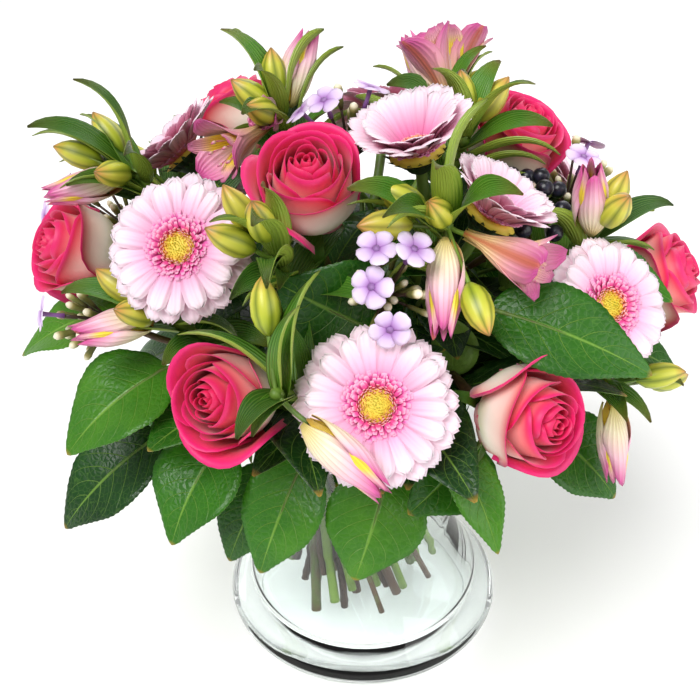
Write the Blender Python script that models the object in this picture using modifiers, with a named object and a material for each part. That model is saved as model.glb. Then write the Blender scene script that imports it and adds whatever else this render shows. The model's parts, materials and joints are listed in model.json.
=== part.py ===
"""A round hand-tied bouquet of gerberas, roses, alstroemerias, phlox and ivy berries
with broad leaves, standing in a clear glass vase with a thick flared foot."""
from math import cos, hypot, pi, radians, sin, sqrt, atan2, degrees

import bmesh
import bpy
from mathutils import Matrix, Vector

MM = 0.001

# --- driving dimensions, in metres -------------------------------------------------------
# vase: a bell whose foot flares out and whose mouth opens a little
vase_height = 0.165
foot_radius = 0.082
foot_height = 0.018            # height of the foot's widest circle
base_radius = 0.064            # the flat that it stands on
neck_radius = 0.052            # outside
lip_radius = 0.060
glass_wall = 0.0045
floor_thickness = 0.020
cavity_radius = 0.0655         # widest circle inside, low in the bell
cavity_rise = 0.008            # from the cavity floor up to that circle
bell_top = vase_height - 0.080          # where the bell has drawn in to the neck
mouth_start = vase_height - 0.060       # where the neck starts to open to the lip
bell_power = 1.8
vase_sides = 24

# bundle: every stem is a ruling of one of four nested hyperboloids, all twisting one way
binding_depth = 0.050          # from the lip down to the bundle's waist
neck_clearance = 0.0095        # from the outermost ring of stems to the glass
foot_clearance = 0.012         # from the outermost cut ends to the glass
stem_lift = 0.006              # lowest cut end above the cavity floor
stem_step = 0.005              # the cut ends differ in height by steps of this
stem_room = 0.0085             # between neighbours of a ring, middle to middle
leaf_tail = 0.016              # how far a leaf stalk goes on below the waist

# cut flowers
crown_scale = 1.0              # spreads or draws in every flower's place about the axis
gerbera_disc_radius = 0.0095
gerbera_calyx_radius = 0.0085
gerbera_calyx_height = 0.011
ray_thickness = 0.0022
gerbera_stem_radius = 0.0027
rose_radius = 0.0245
rose_length = 0.050
rose_stem_radius = 0.0028
truss_stem_radius = 0.0024
hub_radius = 0.0042
pedicel_radius = 0.0012
bud_length = 0.025
bud_radius = 0.0063
bloom_length = 0.045
closed_bloom_radius = 0.0085
open_bloom_radius = 0.019
phlox_stem_radius = 0.0017
floret_radius = 0.0085
floret_tube = 0.012
phlox_bud_radius = 0.0021
phlox_pedicel_radius = 0.0008
phlox_hub_radius = 0.003
berry_radius = 0.0041
berry_stalk = 0.024
berry_count = 13
leaf_thickness = 0.0012
leaf_fold = 0.12               # how far the blade's edges rise, as a share of its half width
leaf_sag = 0.10                # how far the blade bows, as a share of its length
stalk_radius = 0.0013

binding_height = vase_height - binding_depth
cavity_floor = floor_thickness
neck_inside = neck_radius - glass_wall
bundle_radius = neck_inside - neck_clearance
ring_count = 4
ring_spread = (0.36, 0.66, 0.88, 1.15)    # each ring's circle of feet, as a share of the cavity's

# --- the plan of the bouquet ----------------------------------------------------------------
# A place is in millimetres from the centre of the vase's lip: +X right, -Y front, +Z up.
# A facing is (bearing, lean): degrees round from the front towards +X, and down from upright.
gerbera_plan = {               # place, facing, ray length, cup angle of the rays
    "gerbera_1": ((5, -130, 82), (0, 50), 26, 8),
    "gerbera_2": ((-82, -72, 124), (-12, 50), 25, 6),
    "gerbera_3": ((110, -70, 95), (28, 52), 23, 6),
    "gerbera_4": ((22, -42, 158), (-60, 15), 24, 48),
    "gerbera_5": ((54, -66, 138), (90, 28), 21, 50),
    "gerbera_6": ((-94, 26, 126), (-100, 42), 24, 36),
    "gerbera_7": ((104, 38, 98), (100, 45), 24, 32),
    "gerbera_8": ((10, 98, 118), (175, 48), 25, 8),
    "gerbera_9": ((-98, 94, 64), (-135, 62), 24, 8),
}
rose_plan = {                  # place of the head's middle, facing
    "rose_1": ((70, -112, 64), (38, 72)),
    "rose_2": ((-58, -114, 74), (-28, 62)),
    "rose_3": ((-25, -62, 148), (0, 28)),
    "rose_4": ((-142, -18, 92), (-60, 58)),
    "rose_5": ((146, -8, 74), (75, 58)),
    "rose_6": ((72, 14, 138), (60, 28)),
    "rose_7": ((-70, 78, 124), (-120, 36)),
    "rose_8": ((92, 88, 74), (140, 60)),
    "rose_9": ((-34, 122, 62), (-170, 66)),
}
alstroemeria_plan = {          # place of the hub, then each bloom's kind and tip
    "alstroemeria_1": ((46, -10, 150), [
        ("open", (26, 4, 196)), ("bud", (44, 0, 180)), ("bud", (66, 2, 176)), ("bud", (30, 14, 172))]),
    "alstroemeria_2": ((-42, 4, 154), [
        ("open", (-70, -34, 150)), ("closed", (-28, 26, 190)), ("bud", (-64, 2, 174)),
        ("bud", (-46, 12, 186)), ("bud", (-54, -22, 170))]),
    "alstroemeria_3": ((-112, -4, 128), [
        ("closed", (-156, -22, 124)), ("bud", (-152, -2, 142)), ("bud", (-126, -30, 140)),
        ("bud", (-134, 10, 154))]),
    "alstroemeria_4": ((-38, -84, 126), [
        ("bud", (-46, -98, 160)), ("bud", (-66, -96, 146)), ("bud", (-60, -80, 158))]),
    "alstroemeria_5": ((-36, -136, 92), [
        ("closed", (10, -166, 64)), ("bud", (-42, -112, 134))]),
    "alstroemeria_6": ((34, -78, 140), [
        ("open", (74, -102, 130)), ("closed", (32, -120, 108)), ("bud", (50, -122, 112)),
        ("bud", (-4, -92, 146)), ("bud", (4, -78, 158)), ("bud", (26, -94, 158))]),
    "alstroemeria_7": ((104, -40, 112), [
        ("closed", (98, -54, 158)), ("bud", (118, -36, 146)), ("bud", (114, -60, 146))]),
    "alstroemeria_8": ((118, -62, 46), [
        ("closed", (126, -80, -4)), ("bud", (162, -44, 38)), ("bud", (156, -56, 50))]),
    "alstroemeria_9": ((-92, -66, 84), [
        ("closed", (-134, -82, 84)), ("bud", (-124, -60, 106)), ("bud", (-110, -88, 102))]),
    "alstroemeria_10": ((44, 66, 134), [
        ("open", (52, 88, 172)), ("closed", (18, 78, 172)), ("bud", (64, 82, 152)), ("bud", (34, 92, 152))]),
    "alstroemeria_11": ((-108, 50, 96), [
        ("closed", (-158, 58, 100)), ("bud", (-140, 78, 96)), ("bud", (-134, 58, 118))]),
}
phlox_plan = {
    "phlox_1": ((8, -88, 110), [
        ("floret", (2, -114, 130)), ("floret", (10, -124, 115)), ("floret", (20, -106, 144)),
        ("floret", (4, -106, 144)), ("phlox_bud", (22, -116, 128))]),
    "phlox_2": ((-8, -14, 140), [
        ("floret", (-32, -14, 166)), ("floret", (2, -8, 176)), ("floret", (-20, -26, 176)),
        ("phlox_bud", (-6, -22, 172)), ("phlox_bud", (-14, -8, 176)), ("phlox_bud", (8, -18, 170))]),
    "phlox_3": ((98, -2, 110), [
        ("floret", (104, -8, 142)), ("floret", (126, -12, 120)), ("floret", (110, 14, 140)),
        ("phlox_bud", (116, -2, 136)), ("phlox_bud", (122, 8, 128)), ("phlox_bud", (102, 6, 146))]),
    "phlox_4": ((-122, 18, 84), [
        ("floret", (-158, 16, 112)), ("floret", (-166, 4, 100)), ("floret", (-142, 34, 114)),
        ("phlox_bud", (-150, 26, 104)), ("phlox_bud", (-160, 24, 98))]),
    "phlox_5": ((-122, -50, 72), [
        ("floret", (-154, -60, 82)), ("phlox_bud", (-150, -48, 74)), ("phlox_bud", (-146, -68, 74))]),
}
ivy_plan = {"ivy_berries": ((74, -32, 121), (15, 25))}
leaf_plan = {                  # place of the blade's base and of its tip, width, facing
    "leaf_1": ((-94, -66, 56), (-140, -96, 26), 50, (-45, 48)),
    "leaf_2": ((-104, -60, 10), (-154, -80, -36), 42, (-40, 60)),
    "leaf_3": ((-68, -78, 22), (-92, -112, -16), 46, (-35, 55)),
    "leaf_4": ((-122, -20, 60), (-178, -28, 36), 40, (-70, 38)),
    "leaf_5": ((2, -80, 88), (-38, -88, 116), 50, (-10, 58)),
    "leaf_6": ((-66, -70, 34), (-98, -110, 40), 38, (-35, 40)),
    "leaf_7": ((-28, -90, 22), (-50, -114, -32), 38, (-15, 68)),
    "leaf_8": ((12, -94, 16), (-4, -118, -32), 46, (0, 66)),
    "leaf_9": ((-44, -76, 4), (-68, -94, -44), 34, (-25, 75)),
    "leaf_10": ((-94, -34, 2), (-146, -44, -36), 36, (-50, 60)),
    "leaf_11": ((54, -90, 30), (20, -128, 20), 42, (20, 45)),
    "leaf_12": ((40, -110, 46), (60, -140, 8), 22, (20, 60)),
    "leaf_13": ((54, -88, 104), (124, -106, 82), 38, (25, 50)),
    "leaf_14": ((88, -56, 16), (128, -72, -18), 44, (45, 62)),
    "leaf_15": ((100, -27, 92), (146, -48, 84), 34, (50, 40)),
    "leaf_16": ((122, -24, 44), (166, -22, 22), 32, (75, 55)),
}
skirt_leaves = {"count": 6, "from": 98, "to": 262, "base": (92, 18), "tip": (152, -26), "width": 46}
back_leaves = {"leaf_23": ((-20, 84, 96), (-58, 104, 84), 44, (-160, 40)),
               "leaf_24": ((52, 88, 50), (50, 128, 34), 38, (165, 50))}


def direction(bearing, lean):
    """Unit vector of a bearing and a lean, in degrees."""
    b, l = radians(bearing), radians(lean)
    return Vector((sin(b) * sin(l), -cos(b) * sin(l), cos(l)))


def place(point):
    """A place of the plan, in metres from the centre of the vase's base."""
    x, y, z = point
    return Vector((x * crown_scale * MM, y * crown_scale * MM, vase_height + z * crown_scale * MM))


def bearing_of(point):
    return degrees(atan2(point.x, -point.y))


# --- scene helpers --------------------------------------------------------------------------
for old in list(bpy.data.objects):
    bpy.data.objects.remove(old, do_unlink=True)

parts = bpy.data.collections.new("gerberas_in_a_vase")
joined = bpy.data.collections.new("shapes_joined_into_parts")
for collection in (parts, joined):
    bpy.context.scene.collection.children.link(collection)


def material(name, colour, roughness, metallic=0.0, transmission=0.0):
    made = bpy.data.materials.new(name)
    made.use_nodes = True
    shader = made.node_tree.nodes["Principled BSDF"]
    shader.inputs["Base Color"].default_value = (*colour, 1.0)
    shader.inputs["Roughness"].default_value = roughness
    shader.inputs["Metallic"].default_value = metallic
    shader.inputs["Transmission Weight"].default_value = transmission
    made.diffuse_color = (*colour, 1.0)
    return made


def add_object(name, data, collection, finish=None):
    made = bpy.data.objects.new(name, data)
    collection.objects.link(made)
    if finish:
        data.materials.append(finish)
    return made


def as_guide(made):
    made.hide_render = True
    made.display_type = "WIRE"
    return made


def tube(name, points, radii, collection, sides=6):
    """A closed tube along a polyline, as a mesh whose caps are welded."""
    curve = bpy.data.curves.new(name, "CURVE")
    curve.dimensions = "3D"
    curve.bevel_depth = 1.0
    curve.bevel_resolution = (sides - 4) // 2
    curve.use_fill_caps = True
    curve.twist_mode = "MINIMUM"
    line = curve.splines.new("POLY")
    line.points.add(len(points) - 1)
    for target, point, radius in zip(line.points, points, radii):
        target.co = (*point, 1.0)
        target.radius = radius
    guide = bpy.data.objects.new(name + "_line", curve)
    collection.objects.link(guide)
    bpy.context.view_layer.update()
    solid = bpy.data.meshes.new_from_object(guide.evaluated_get(bpy.context.evaluated_depsgraph_get()))
    bpy.data.objects.remove(guide)
    bpy.data.curves.remove(curve)
    edit = bmesh.new()
    edit.from_mesh(solid)
    bmesh.ops.remove_doubles(edit, verts=edit.verts, dist=1e-6)
    bmesh.ops.recalc_face_normals(edit, faces=edit.faces)
    edit.to_mesh(solid)
    edit.free()
    solid.name = name
    return add_object(name, solid, collection)


def turned(name, profile, sides, collection):
    """A closed shape of revolution: the profile runs (radius, height) from the axis back to the axis."""
    outline = bpy.data.meshes.new(name)
    edges = [(i, i + 1) for i in range(len(profile) - 1)]
    outline.from_pydata([(r, 0.0, z) for r, z in profile], edges, [])
    made = add_object(name, outline, collection)
    screw = made.modifiers.new("turn", "SCREW")
    screw.axis = "Z"
    screw.steps = sides
    screw.render_steps = sides
    screw.use_merge_vertices = True
    screw.merge_threshold = 1e-5
    return made


def point_along(made, base, axis):
    """Stands a shape made along +Z on a point, turned to an axis."""
    turn = axis.to_track_quat("Z", "Y").to_matrix().to_4x4()
    made.matrix_world = Matrix.Translation(base) @ turn


def grow(stem, shapes, finish):
    """Joins a stem and what grows on it into one node."""
    group = bpy.data.collections.new(stem.name + "_shapes")
    joined.children.link(group)
    for shape in shapes:
        joined.objects.unlink(shape)
        group.objects.link(as_guide(shape))
    union = stem.modifiers.new("grown_as_one", "BOOLEAN")
    union.operation = "UNION"
    union.solver = "EXACT"
    union.operand_type = "COLLECTION"
    union.collection = group
    stem.data.materials.append(finish)


# --- vase -----------------------------------------------------------------------------------
def bell(z, widest, widest_height, neck, lip):
    """Radius of the vase's wall at a height: bell, neck, then the mouth opening to the lip."""
    if z < bell_top:
        share = (z - widest_height) / (bell_top - widest_height)
        return neck + (widest - neck) * (1 - share) ** bell_power
    if z < mouth_start:
        return neck
    share = (z - mouth_start) / (vase_height - mouth_start)
    return neck + (lip - neck) * share ** 2


def cavity_wall(z):
    return bell(z, cavity_radius, cavity_floor + cavity_rise, neck_inside, lip_radius - glass_wall)


def vase(finish):
    widest_inside = cavity_floor + cavity_rise
    inside = [(0, cavity_floor), (cavity_radius - cavity_rise, cavity_floor)]
    outside = []
    steps = 5
    for i in range(steps + 1):
        z = widest_inside + (bell_top - widest_inside) * i / steps
        inside.append((cavity_wall(z), z))
        z = foot_height + (bell_top - foot_height) * i / steps
        outside.append((bell(z, foot_radius, foot_height, neck_radius, lip_radius), z))
    for share in (0.25, 0.6, 1.0):
        z = mouth_start + (vase_height - mouth_start) * share
        inside.append((cavity_wall(z), z))
        outside.append((bell(z, foot_radius, foot_height, neck_radius, lip_radius), z))
    rounding = foot_radius - base_radius
    foot = [(base_radius + rounding * cos(a), foot_height * (1 - sin(a)))
            for a in (radians(25), radians(50), radians(75))]
    base = [(base_radius, 0), (0, 0)]
    made = turned("vase", inside + outside[::-1] + foot + base, vase_sides, parts)
    made.data.materials.append(finish)
    return made


# --- stems: where each one stands in the bundle -------------------------------------------------
def lean_of(point):
    """How far a flower leans from upright, seen from the middle of the lip."""
    return degrees(atan2(hypot(point.x, point.y), point.z - vase_height))


def waist_radius(ring):
    return bundle_radius * (ring + 1) / ring_count


def bundle_slots(wanted):
    """Fills the rings from the middle out, the most upright flowers first. In its ring each stem
    keeps its flower's bearing, moved only as far as it takes for all to have room."""
    waiting = sorted(wanted, key=lambda entry: (lean_of(entry[1]), entry[0]))
    slots = {}
    for ring in range(ring_count):
        holds = int(2 * pi * waist_radius(ring) / stem_room)
        if ring == ring_count - 1:
            holds = len(waiting)
        members = sorted((bearing_of(point), name) for name, point in waiting[:holds])
        waiting = waiting[holds:]
        count = len(members)
        room = min(degrees(stem_room / waist_radius(ring)), 358 / max(count, 1))
        bearings = [bearing for bearing, _ in members]
        for _ in range(600):
            for i in range(count):
                ahead = (i + 1) % count
                turn = 360 if ahead == 0 else 0
                short = room - (bearings[ahead] + turn - bearings[i])
                if count > 1 and short > 0:
                    bearings[i] -= short / 2
                    bearings[ahead] += short / 2
        for i, (_, name) in enumerate(members):
            slots[name] = (ring, bearings[i], i)
    return slots


def ruling(ring, bearing):
    """A stem's point at the waist, and its straight direction upwards there."""
    foot_circle = (cavity_radius - foot_clearance) * ring_spread[ring]
    run = sqrt(max(foot_circle ** 2 - waist_radius(ring) ** 2, 0.0))
    drop = binding_height - cavity_floor - stem_lift
    out = direction(bearing, 90)
    side = Vector((-out.y, out.x, 0.0))
    waist = side * waist_radius(ring) + Vector((0, 0, binding_height))
    return waist, (out * run + Vector((0, 0, drop))).normalized()


def smooth_line(start, start_way, end, end_way, steps, leaving=0.65, arriving=0.25):
    """Points of a cubic from start to end that leaves and arrives along the given ways."""
    reach = (end - start).length
    a, b = start + start_way * reach * leaving, end - end_way * reach * arriving
    points = []
    for i in range(1, steps + 1):
        t = i / steps
        s = 1 - t
        points.append(start * s ** 3 + a * 3 * s * s * t + b * 3 * s * t * t + end * t ** 3)
    return points


def stem_points(slot, end, end_way, steps=5):
    """From the cut end in the vase, straight through the waist, then curving to the flower."""
    ring, bearing, index = slot
    waist, way = ruling(ring, bearing)
    cut_height = cavity_floor + stem_lift + stem_step * (index * 2 % 5)
    cut = waist - way * ((waist.z - cut_height) / way.z)
    return [cut, waist] + smooth_line(waist, way, end, end_way, steps)


# --- flowers --------------------------------------------------------------------------------
def gerbera(name, slot, finish):
    spot, facing, ray, cup = gerbera_plan[name]
    axis = direction(*facing)
    ray, cup = ray * MM, radians(cup)
    disc = gerbera_calyx_height
    rim = Vector((gerbera_disc_radius + ray * cos(cup), disc + ray * sin(cup)))
    under = Vector((sin(cup), -cos(cup))) * ray_thickness
    profile = [
        (0, disc + 0.0015),
        (gerbera_disc_radius, disc + 0.001),
        tuple(rim),
        tuple(rim + under),
        (gerbera_disc_radius + 0.001, disc - 0.003),
        (gerbera_calyx_radius, disc * 0.5),
        (gerbera_calyx_radius * 0.75, disc * 0.12),
        (gerbera_stem_radius, 0),
        (0, 0),
    ]
    base = place(spot) - axis * disc
    head = turned(name + "_head", profile, 14, joined)
    point_along(head, base, axis)
    points = stem_points(slot, base + axis * 0.004, axis)
    stem = tube(name, points, [gerbera_stem_radius] * len(points), parts)
    return stem, [head], finish


def rose(name, slot, finish):
    spot, facing = rose_plan[name]
    axis = direction(*facing)
    r, h = rose_radius, rose_length
    profile = [(0, h * 0.92), (r * 0.4, h), (r * 0.76, h * 0.95), (r * 0.97, h * 0.77), (r, h * 0.55),
               (r * 0.9, h * 0.32), (r * 0.62, h * 0.12), (rose_stem_radius * 1.5, 0), (0, 0)]
    base = place(spot) - axis * h / 2
    head = turned(name + "_head", profile, 11, joined)
    point_along(head, base, axis)
    points = stem_points(slot, base + axis * 0.006, axis)
    stem = tube(name, points, [rose_stem_radius] * len(points), parts)
    return stem, [head], finish


bloom_shapes = {   # share of the bloom's own length, share of its radius
    "bud": [(0, 0.25), (0.35, 1), (0.75, 0.75), (1, 0.12)],
    "closed": [(0, 0.25), (0.4, 1), (0.8, 0.7), (1, 0.2)],
    "open": [(0, 0.12), (0.4, 0.45), (1, 1)],
    "floret": [(0, 0.14), (0.8, 0.2), (1, 1)],
    "phlox_bud": [(0, 0.5), (0.6, 1), (1, 0.3)],
    "berry": [(0, 0.35), (0.3, 0.95), (0.7, 0.95), (1, 0.35)],
}
bloom_sizes = {    # length and radius
    "bud": (bud_length, bud_radius),
    "closed": (bloom_length, closed_bloom_radius),
    "open": (bloom_length * 0.85, open_bloom_radius),
    "floret": (floret_tube, floret_radius),
    "phlox_bud": (floret_tube, phlox_bud_radius),
    "berry": (berry_radius * 2, berry_radius),
}


def bloom(name, kind, hub, tip, stalk):
    """A pedicel and the bloom on it, from the hub straight to the bloom's tip."""
    length, radius = bloom_sizes[kind]
    way = (tip - hub).normalized()
    length = min(length, (tip - hub).length * 0.86)
    base = tip - way * length
    points = [hub] + [base + way * length * share for share, _ in bloom_shapes[kind]]
    radii = [stalk] + [radius * share for _, share in bloom_shapes[kind]]
    return tube(name, points, radii, joined)


def hub_ball(name, hub, radius):
    """The knuckle where a truss's pedicels part."""
    ball = bpy.data.meshes.new(name)
    edit = bmesh.new()
    bmesh.ops.create_uvsphere(edit, u_segments=6, v_segments=4, radius=radius)
    edit.to_mesh(ball)
    edit.free()
    made = add_object(name, ball, joined)
    made.location = hub
    return made


def truss(name, slot, hub, blooms, stem_radius, knuckle, stalk, finish):
    """A stem that parts at a hub into pedicels, each with its bloom."""
    way = (hub - Vector((0, 0, binding_height))).normalized()
    points = stem_points(slot, hub, way)
    stem = tube(name, points, [stem_radius] * len(points), parts)
    shapes = [hub_ball(name + "_hub", hub, knuckle)]
    for i, (kind, tip) in enumerate(blooms):
        shapes.append(bloom(f"{name}_bloom_{i + 1}", kind, hub, tip, stalk))
    return stem, shapes, finish


def berry_tips(hub, facing):
    """Berries spread over a cap about the facing, each a golden angle round from the last."""
    turn = direction(*facing).to_track_quat("Z", "Y")
    tips = []
    for i in range(berry_count):
        lean = sqrt((i + 0.5) / berry_count) * radians(78)
        round_angle = i * pi * (3 - sqrt(5))
        way = Vector((sin(lean) * cos(round_angle), sin(lean) * sin(round_angle), cos(lean)))
        tips.append(("berry", hub + turn @ way * berry_stalk))
    return tips


# --- leaves ---------------------------------------------------------------------------------
def blade_half_width(share, width):
    """Half width of a broad pointed blade at a share of its length."""
    return width / 2 * sin(pi * share ** 0.8) ** 0.7


def leaf(name, slot, base, tip, width, facing, finish):
    """A stalk from the bundle that widens into a folded, slightly bowed blade: one loft."""
    up = direction(*facing)
    length = (tip - base).length
    way = (tip - base).normalized()
    up = (up - way * up.dot(way)).normalized()
    rise = up * length * leaf_sag * 4
    ring, bearing, _ = slot
    waist, waist_way = ruling(ring, bearing)
    stalk_way = (way + up * leaf_sag * 4).normalized()
    stalk = [waist - waist_way * leaf_tail, waist] + smooth_line(waist, waist_way, base, stalk_way, 5, 0.62, 0.3)
    blade_steps = 8
    centres, halves = list(stalk), [stalk_radius] * len(stalk)
    for i in range(1, blade_steps + 1):
        share = i / blade_steps
        centres.append(base.lerp(tip, share) + rise * share * (1 - share))
        halves.append(max(blade_half_width(share, width), 0.0009))
    ways = [(centres[min(i + 1, len(centres) - 1)] - centres[max(i - 1, 0)]).normalized()
            for i in range(len(centres))]
    ups = [None] * len(centres)
    ups[-1] = (up - ways[-1] * up.dot(ways[-1])).normalized()
    for i in range(len(centres) - 2, -1, -1):
        ups[i] = (ups[i + 1] - ways[i] * ups[i + 1].dot(ways[i])).normalized()
    edit = bmesh.new()
    rings = []
    for i, (centre, half) in enumerate(zip(centres, halves)):
        across = ways[i].cross(ups[i])
        on_blade = i >= len(stalk)
        thick = leaf_thickness / 2 if on_blade else stalk_radius
        lift = half * leaf_fold if on_blade else 0.0
        corners = (centre - across * half + ups[i] * lift, centre + ups[i] * thick,
                   centre + across * half + ups[i] * lift, centre - ups[i] * thick)
        rings.append([edit.verts.new(corner) for corner in corners])
    for lower, upper in zip(rings, rings[1:]):
        for k in range(4):
            edit.faces.new((lower[k], lower[(k + 1) % 4], upper[(k + 1) % 4], upper[k]))
    edit.faces.new(rings[0])
    edit.faces.new(rings[-1])
    bmesh.ops.recalc_face_normals(edit, faces=edit.faces)
    solid = bpy.data.meshes.new(name)
    edit.to_mesh(solid)
    edit.free()
    return add_object(name, solid, parts, finish)


def all_leaves():
    """Every leaf of the plan, and the skirt of leaves that closes the bouquet's back."""
    plan = {name: (place(base), place(tip), width * MM, facing)
            for name, (base, tip, width, facing) in {**leaf_plan, **back_leaves}.items()}
    first, last, count = skirt_leaves["from"], skirt_leaves["to"], skirt_leaves["count"]
    for i in range(count):
        bearing = first + (last - first) * i / (count - 1)
        (base_out, base_up), (tip_out, tip_up) = skirt_leaves["base"], skirt_leaves["tip"]
        out = direction(bearing, 90)
        base, tip = out * base_out, out * tip_out
        name = f"leaf_{len(leaf_plan) + 1 + i}"
        plan[name] = (place((base.x, base.y, base_up)), place((tip.x, tip.y, tip_up)),
                      skirt_leaves["width"] * MM, (bearing, 50))
    return plan


# --- the whole bouquet ----------------------------------------------------------------------
glass = material("clear_glass", (0.86, 0.9, 0.9), 0.02, transmission=1.0)
pink_rays = material("gerbera_pink", (0.9, 0.5, 0.66), 0.5)
rose_pink = material("rose_pink", (0.85, 0.12, 0.24), 0.5)
alstroemeria_green = material("alstroemeria_green", (0.55, 0.5, 0.12), 0.5)
phlox_lilac = material("phlox_lilac", (0.68, 0.5, 0.78), 0.5)
berry_black = material("berry_black", (0.02, 0.02, 0.04), 0.35)
leaf_green = material("leaf_green", (0.05, 0.2, 0.03), 0.4)

vase(glass)
leaves = all_leaves()
wanted = [(name, place(entry[0]))
          for plan in (gerbera_plan, rose_plan, alstroemeria_plan, phlox_plan, ivy_plan)
          for name, entry in plan.items()]
wanted += [(name, entry[0]) for name, entry in leaves.items()]
slots = bundle_slots(wanted)

cut_flowers = [gerbera(name, slots[name], pink_rays) for name in gerbera_plan]
cut_flowers += [rose(name, slots[name], rose_pink) for name in rose_plan]
for name, (hub, blooms) in alstroemeria_plan.items():
    tips = [(kind, place(tip)) for kind, tip in blooms]
    cut_flowers.append(truss(name, slots[name], place(hub), tips, truss_stem_radius, hub_radius,
                             pedicel_radius, alstroemeria_green))
for name, (hub, blooms) in phlox_plan.items():
    tips = [(kind, place(tip)) for kind, tip in blooms]
    cut_flowers.append(truss(name, slots[name], place(hub), tips, phlox_stem_radius,
                             phlox_hub_radius, phlox_pedicel_radius, phlox_lilac))
for name, (hub, facing) in ivy_plan.items():
    cut_flowers.append(truss(name, slots[name], place(hub), berry_tips(place(hub), facing),
                             phlox_stem_radius, phlox_hub_radius, phlox_pedicel_radius, berry_black))
for stem, shapes, finish in cut_flowers:
    grow(stem, shapes, finish)
for name, (base, tip, width, facing) in leaves.items():
    leaf(name, slots[name], base, tip, width, facing, leaf_green)
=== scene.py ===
import json
from functools import partial
from math import atan2, cos, hypot, pi, radians, sin, sqrt
from random import Random
from types import SimpleNamespace

import bmesh
import bpy
import numpy as np
from mathutils import Matrix, Vector

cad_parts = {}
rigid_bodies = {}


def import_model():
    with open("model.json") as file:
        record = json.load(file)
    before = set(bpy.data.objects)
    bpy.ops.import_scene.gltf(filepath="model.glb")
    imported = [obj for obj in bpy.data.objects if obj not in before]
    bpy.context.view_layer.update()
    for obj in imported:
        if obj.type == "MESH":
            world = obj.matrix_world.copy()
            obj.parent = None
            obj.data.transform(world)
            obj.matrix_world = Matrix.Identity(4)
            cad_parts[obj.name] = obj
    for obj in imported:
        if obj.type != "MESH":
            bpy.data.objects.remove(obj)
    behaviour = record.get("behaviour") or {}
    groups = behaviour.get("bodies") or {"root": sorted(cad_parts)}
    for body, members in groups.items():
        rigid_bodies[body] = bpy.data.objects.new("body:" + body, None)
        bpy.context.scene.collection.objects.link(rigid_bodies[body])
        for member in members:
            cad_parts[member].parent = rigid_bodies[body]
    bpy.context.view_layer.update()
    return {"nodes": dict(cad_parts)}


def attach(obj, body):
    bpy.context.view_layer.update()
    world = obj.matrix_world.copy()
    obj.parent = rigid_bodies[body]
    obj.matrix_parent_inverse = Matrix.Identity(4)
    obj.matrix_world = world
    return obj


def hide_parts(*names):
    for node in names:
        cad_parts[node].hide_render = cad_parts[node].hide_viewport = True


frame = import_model()
nodes = frame["nodes"]
scene = bpy.context.scene
mm = 0.001
golden = pi * (3 - sqrt(5))
print("frame loaded,", len(nodes), "nodes")


# camera and light
camera = {"place": (0.0, -0.4887, 0.5150), "pitch": 33.8, "yaw": 0.96, "lens": 55.4}
cameraObject = bpy.data.objects.new("camera", bpy.data.cameras.new("camera"))
cameraObject.data.lens = camera["lens"]
cameraObject.data.sensor_width = 36
cameraObject.location = camera["place"]
cameraObject.rotation_euler = (radians(90 - camera["pitch"]), 0, radians(camera["yaw"]))
scene.collection.objects.link(cameraObject)
scene.camera = cameraObject
scene.view_settings.view_transform = "Standard"

lights = {  # a wide sun stands in for one big soft box
    "key": {"kind": "SUN", "at": (-0.55, -0.75, 1.5), "spread": {"angle": 0.6}, "power": 2.6},
    "fill": {"kind": "AREA", "at": (0.9, -0.6, 0.6), "spread": {"size": 0.9}, "power": 5},
    "back": {"kind": "AREA", "at": (0.3, 0.9, 0.9), "spread": {"size": 0.8}, "power": 5},
}
for name, light in lights.items():
    lamp = bpy.data.lights.new(name, light["kind"])
    for setting, value in light["spread"].items():
        setattr(lamp, setting, value)
    lamp.energy = light["power"]
    lampObject = bpy.data.objects.new(name, lamp)
    lampObject.location = light["at"]
    aim = Vector((0, 0, 0.2)) - Vector(light["at"])
    lampObject.rotation_euler = aim.to_track_quat("-Z", "Y").to_euler()
    scene.collection.objects.link(lampObject)
world = bpy.data.worlds.new("studio")
world.use_nodes = True
world.node_tree.nodes["Background"].inputs["Color"].default_value = (1, 1, 1, 1)
world.node_tree.nodes["Background"].inputs["Strength"].default_value = 0.42
scene.world = world


# materials
def linear(hexColour):  # sRGB hex to the linear colour that sockets take
    shares = [int(hexColour[i:i + 2], 16) / 255 for i in (0, 2, 4)]
    return tuple(c / 12.92 if c <= 0.04045 else ((c + 0.055) / 1.055) ** 2.4 for c in shares) + (1.0,)


def feed(socket, value):  # a link from a node or a socket, or else a value
    if isinstance(value, bpy.types.Node):
        value = next(out for out in value.outputs if out.enabled)
    if isinstance(value, bpy.types.NodeSocket):
        socket.id_data.links.new(value, socket)
    else:
        socket.default_value = linear(value) if socket.type == "RGBA" else value


def addNode(tree, kind, *inputs, **settings):  # its kind may name an operation; inputs go to its open sockets
    kind, _, mode = kind.partition(" ")
    node = tree.nodes.new(kind if "Node" in kind else "ShaderNode" + kind)
    if mode:
        setattr(node, "operation" if hasattr(node, "operation") else "data_type", mode)
    for key, value in settings.items():
        if key == "stops":
            elements = node.color_ramp.elements
            elements.remove(elements[1])
            for i, (place, colour) in enumerate(value.items()):
                element = elements.new(place) if i else elements[0]
                element.position, element.color = place, linear(colour)
        elif hasattr(node, key):
            setattr(node, key, value)
        else:
            feed(node.inputs[key.replace("_", " ")], value)
    for socket, value in zip([s for s in node.inputs if s.enabled], inputs):
        feed(socket, value)
    return node


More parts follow.
